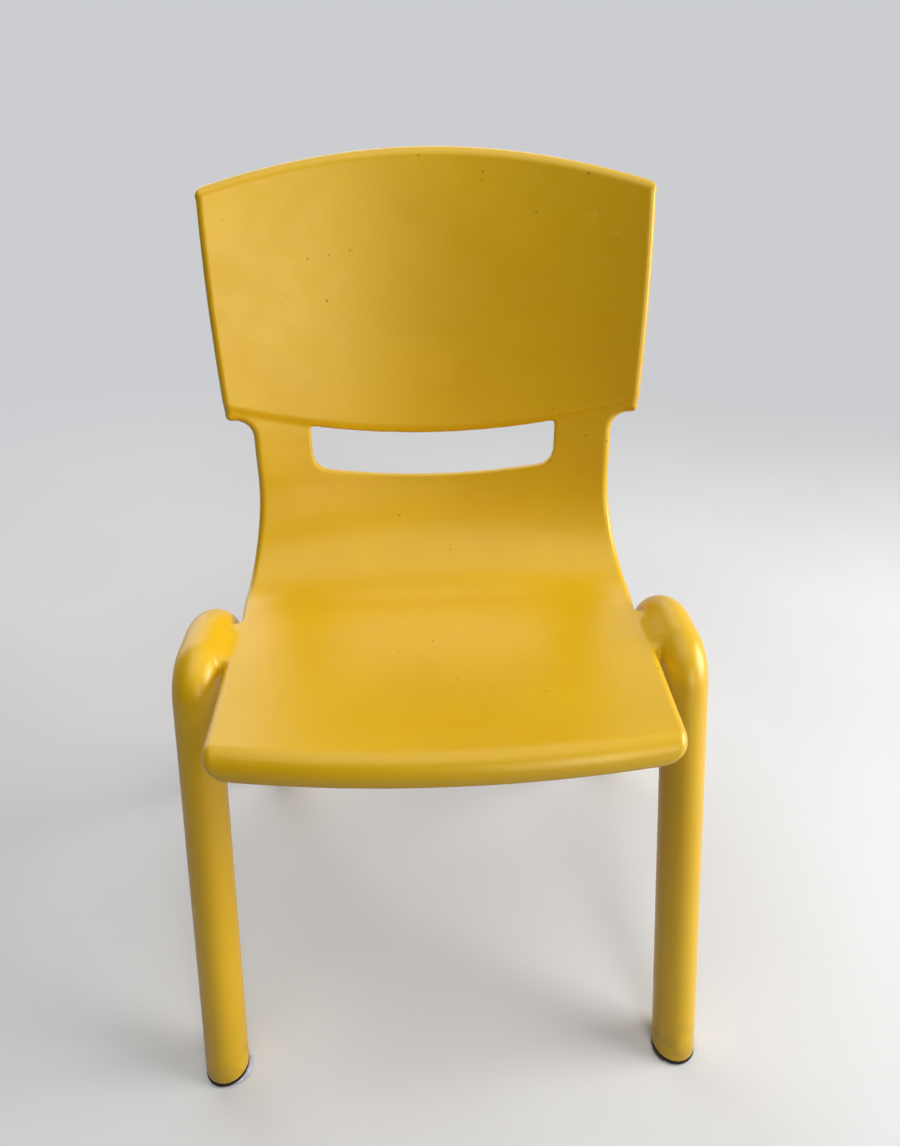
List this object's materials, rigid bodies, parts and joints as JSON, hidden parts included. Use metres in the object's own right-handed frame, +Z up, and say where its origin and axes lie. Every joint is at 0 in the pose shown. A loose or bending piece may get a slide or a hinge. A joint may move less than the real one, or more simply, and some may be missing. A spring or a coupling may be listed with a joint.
{
  "type": "child's plastic school chair",
  "caption": "Stackable one-piece moulded plastic school chair for a child, with a hand slot in the back, round splayed legs, and felt glides under the feet.",
  "frame": {"origin": "on the floor, midway between the four feet, at the bottom centre of the bounding box", "axes": "+Z up, the front of the chair faces -Y, +X is to the right of a viewer who faces the chair"},
  "size_m": [0.426, 0.3974, 0.6835],
  "materials": {
    "shell": "satin fine-grained moulded polypropylene, with light scuffs and specks",
    "insert": "matt black moulded insert",
    "felt": "worn grey felt with frayed edges"
  },
  "bodies": {
    "root": {"chair_shell": "shell", "front_left_foot_insert": "insert", "front_right_foot_insert": "insert", "rear_left_foot_insert": "insert", "rear_right_foot_insert": "insert", "front_left_felt_pad": "felt", "front_right_felt_pad": "felt", "rear_left_felt_pad": "felt", "rear_right_felt_pad": "felt"}
  },
  "joints": []
}
